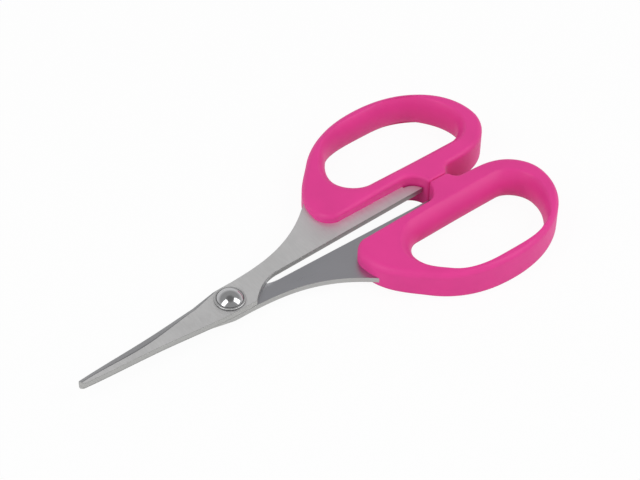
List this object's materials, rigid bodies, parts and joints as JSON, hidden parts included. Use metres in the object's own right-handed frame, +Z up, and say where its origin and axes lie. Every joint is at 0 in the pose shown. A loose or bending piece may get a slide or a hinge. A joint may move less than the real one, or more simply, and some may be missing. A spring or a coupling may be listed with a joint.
{
  "type": "floral snips",
  "caption": "Small straight-bladed scissors for cutting flower stems: steel plates turning on a domed rivet, each moulded into a plastic finger bow.",
  "frame": {"origin": "underneath the middle of the closed snips' bounding box, on the surface they lie on", "axes": "+X from the blade tips towards the finger bows, +Y towards the front handle, +Z up out of the domed rivet head"},
  "size_m": [0.14, 0.069, 0.01],
  "materials": {
    "blade_steel": "fine satin ground stainless steel",
    "pink_plastic": "smooth satin moulded plastic",
    "rivet_steel": "polished steel"
  },
  "bodies": {
    "rear_half": {"rear_blade": "blade_steel", "rear_handle": "pink_plastic", "pivot_rivet": "rivet_steel", "rivet_washer": "rivet_steel"},
    "front_half": {"front_blade": "blade_steel", "front_handle": "pink_plastic"}
  },
  "joints": [
    {"name": "blade_pivot", "type": "hinge", "parent": "rear_half", "child": "front_half", "pos_m": [-0.024, 0, 0.005], "axis": [0, 0, 1], "range_deg": [0, 148]}
  ]
}
